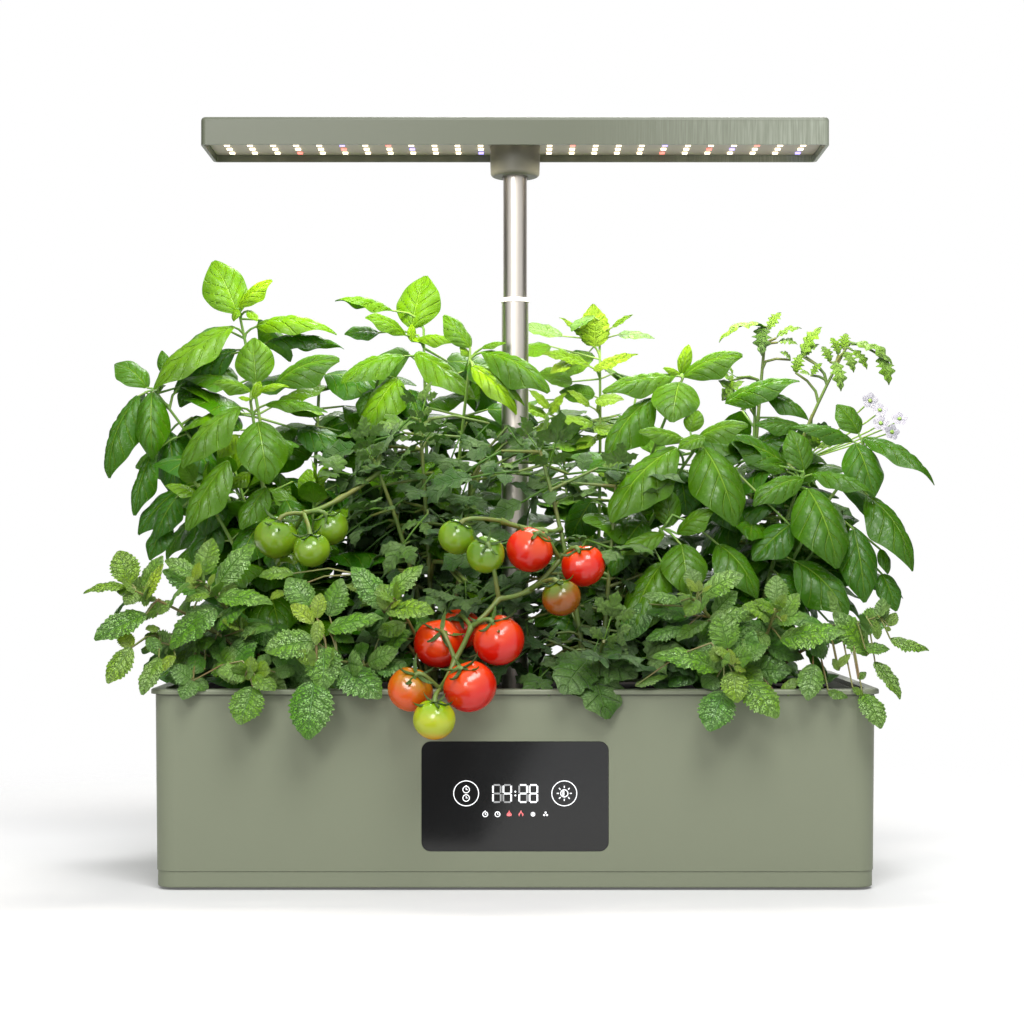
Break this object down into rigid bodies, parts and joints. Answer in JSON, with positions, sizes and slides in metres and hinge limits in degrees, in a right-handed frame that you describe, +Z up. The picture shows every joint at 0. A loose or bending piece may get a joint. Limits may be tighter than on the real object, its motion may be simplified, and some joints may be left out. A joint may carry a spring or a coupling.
{
  "type": "countertop hydroponic garden",
  "caption": "Countertop hydroponic planter: drafted water-tank casing with a touch panel, pods of herbs and cherry tomatoes, and an LED bar on a telescopic pole.",
  "frame": {"origin": "middle of the casing's footprint, on the surface that the rubber feet stand on", "axes": "+X to the right along the casing's long side, +Y to the back, +Z up; the panel faces -Y"},
  "size_m": [0.5457, 0.2704, 0.4924],
  "materials": {
    "sage_plastic": "satin",
    "tank_plastic": "satin",
    "deck_plastic": "matte",
    "rubber": "matte",
    "steel": "satin",
    "pot_plastic": "matte",
    "sponge": "matte",
    "panel_gloss": "gloss",
    "adhesive": "matte",
    "circuit_board": "satin",
    "display": "gloss",
    "black_plastic": "satin",
    "tube_aluminium": "satin",
    "bush_plastic": "satin",
    "bracket_plastic": "satin",
    "lamp_paint": "satin",
    "lamp_board": "matte",
    "led_white": "gloss",
    "led_red": "gloss",
    "led_blue": "gloss",
    "pump_plastic": "satin",
    "rotor_plastic": "satin",
    "clear_hose": "satin",
    "float_white": "matte",
    "basil_leaf": "satin",
    "mint_leaf": "matte",
    "balm_leaf": "matte",
    "tomato_leaf": "matte",
    "stalk_green": "satin",
    "tomato_red": "gloss",
    "tomato_orange": "gloss",
    "tomato_green": "gloss"
  },
  "bodies": {
    "garden": {"outer_casing": "sage_plastic", "inner_tank": "tank_plastic", "base_tray": "sage_plastic", "rubber_feet": "rubber", "tray_screws": "steel", "grow_deck": "deck_plastic", "net_pots_front": "pot_plastic", "net_pots_middle": "pot_plastic", "net_pots_rear": "pot_plastic", "grow_plugs": "sponge", "panel_glass": "panel_gloss", "panel_adhesive": "adhesive", "control_board": "circuit_board", "display_module": "display", "board_screws": "steel", "power_inlet": "black_plastic", "pole_socket": "black_plastic", "outer_tube": "tube_aluminium", "collar_bush": "bush_plastic", "pump_body": "pump_plastic", "pump_shaft": "steel", "pump_cover": "pump_plastic", "pump_feet": "rubber", "outlet_pipe": "clear_hose", "float_stem": "black_plastic", "tomatoes_ripe": "tomato_red", "tomatoes_turning": "tomato_orange", "tomatoes_green": "tomato_green", "tomato_trusses": "stalk_green", "basil_rear_left": "basil_leaf", "basil_rear_centre": "basil_leaf", "lemon_balm": "balm_leaf", "tomato_rear_right": "tomato_leaf", "basil_middle_left": "basil_leaf", "tomato_middle": "tomato_leaf", "basil_middle_centre": "basil_leaf", "basil_middle_right": "basil_leaf", "mint_front_left": "mint_leaf", "mint_front_centre": "mint_leaf", "tomato_front": "tomato_leaf", "mint_front_right": "mint_leaf"},
    "lamp": {"inner_tube": "tube_aluminium", "lamp_bracket": "bracket_plastic", "lamp_housing": "lamp_paint", "lamp_screws": "steel", "led_board": "lamp_board", "led_driver": "black_plastic", "leds_white": "led_white", "leds_red": "led_red", "leds_blue": "led_blue", "lamp_cable": "black_plastic"},
    "fill_lid": {"fill_lid": "deck_plastic"},
    "level_float": {"level_float": "float_white"},
    "pump_rotor": {"pump_rotor": "rotor_plastic"}
  },
  "joints": [
    {"name": "lamp_height", "type": "slide", "parent": "garden", "child": "lamp", "axis": [0, 0, 1], "range_m": [-0.06, 0.1], "deforming": ["lamp_cable"]},
    {"name": "fill_lid_hinge", "type": "hinge", "parent": "garden", "child": "fill_lid", "pos_m": [0.192, 0.0516, 0.1175], "axis": [-1, 0, 0], "range_deg": [0, 95]},
    {"name": "level_float_slide", "type": "slide", "parent": "garden", "child": "level_float", "axis": [0, 0, 1], "range_m": [0, 0.042]},
    {"name": "pump_rotor_spin", "type": "hinge", "parent": "garden", "child": "pump_rotor", "pos_m": [0.182, 0.041, 0.049], "axis": [0, 1, 0], "continuous": true}
  ]
}
